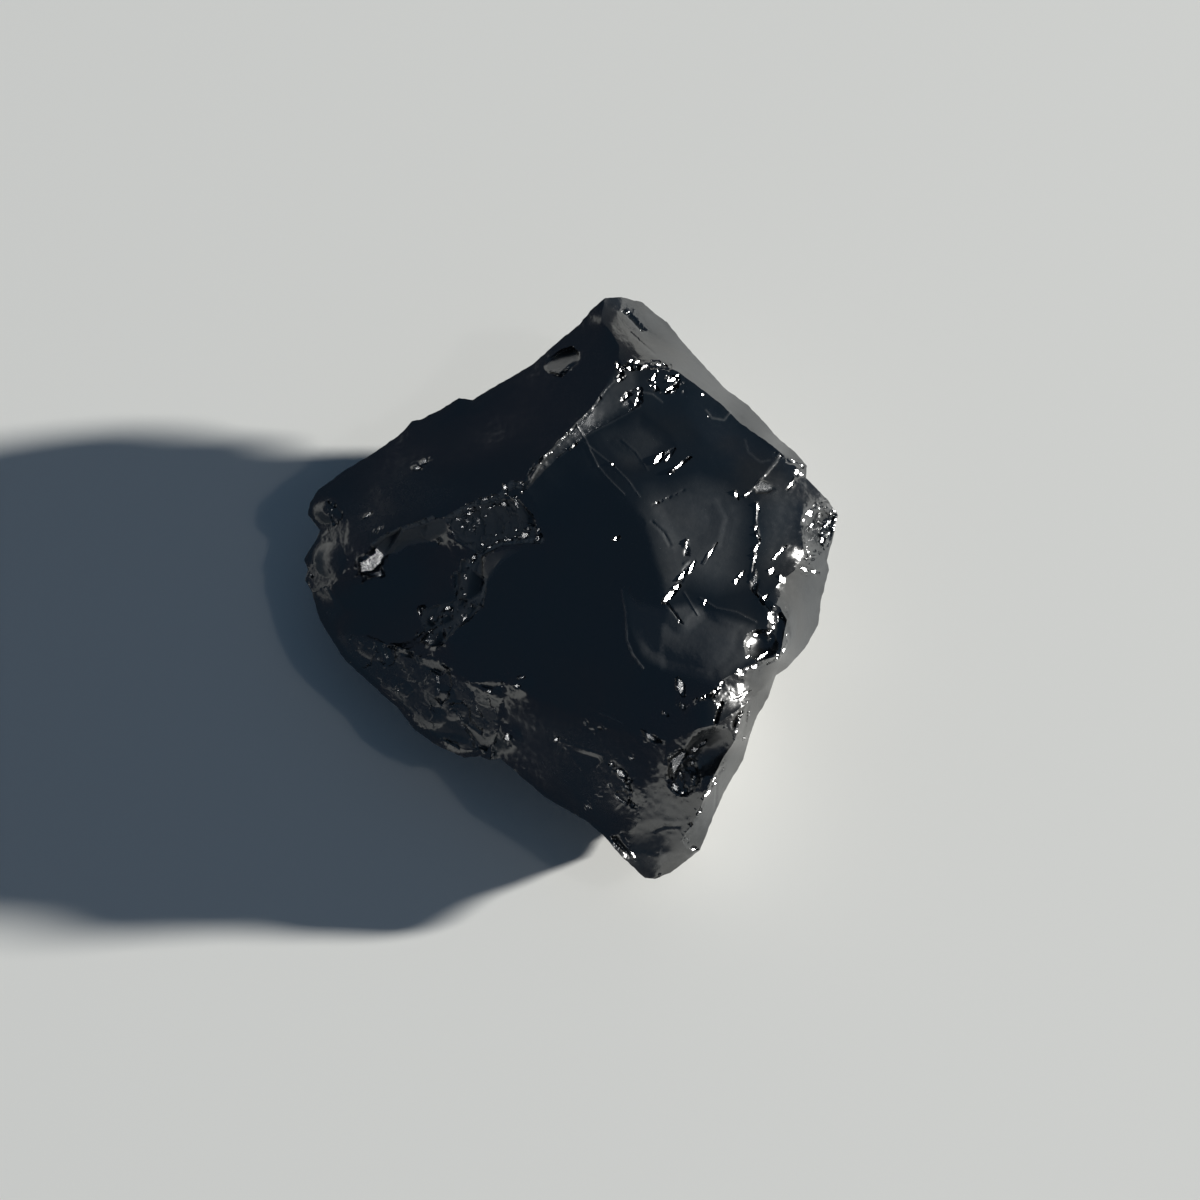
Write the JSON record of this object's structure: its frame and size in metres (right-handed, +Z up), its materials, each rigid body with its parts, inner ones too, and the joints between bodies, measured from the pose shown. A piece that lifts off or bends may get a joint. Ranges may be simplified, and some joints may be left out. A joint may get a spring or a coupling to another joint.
{
  "type": "shungite nugget",
  "caption": "Broken nugget of black, glassy shungite with flat fracture faces, shell-shaped scars, a ragged ledge, a stepped hollow and a flat face it rests on.",
  "frame": {"origin": "centre of the bounding box in X and Y, at the level of the flat face the stone rests on", "axes": "+Z up off the resting face, +Y towards the pointed corner at the top of the picture, +X towards the steep side that faces the light"},
  "size_m": [0.0264, 0.0294, 0.0109],
  "materials": {
    "shungite": "glassy black fracture surface"
  },
  "bodies": {
    "root": {"nugget": "shungite"}
  },
  "joints": []
}
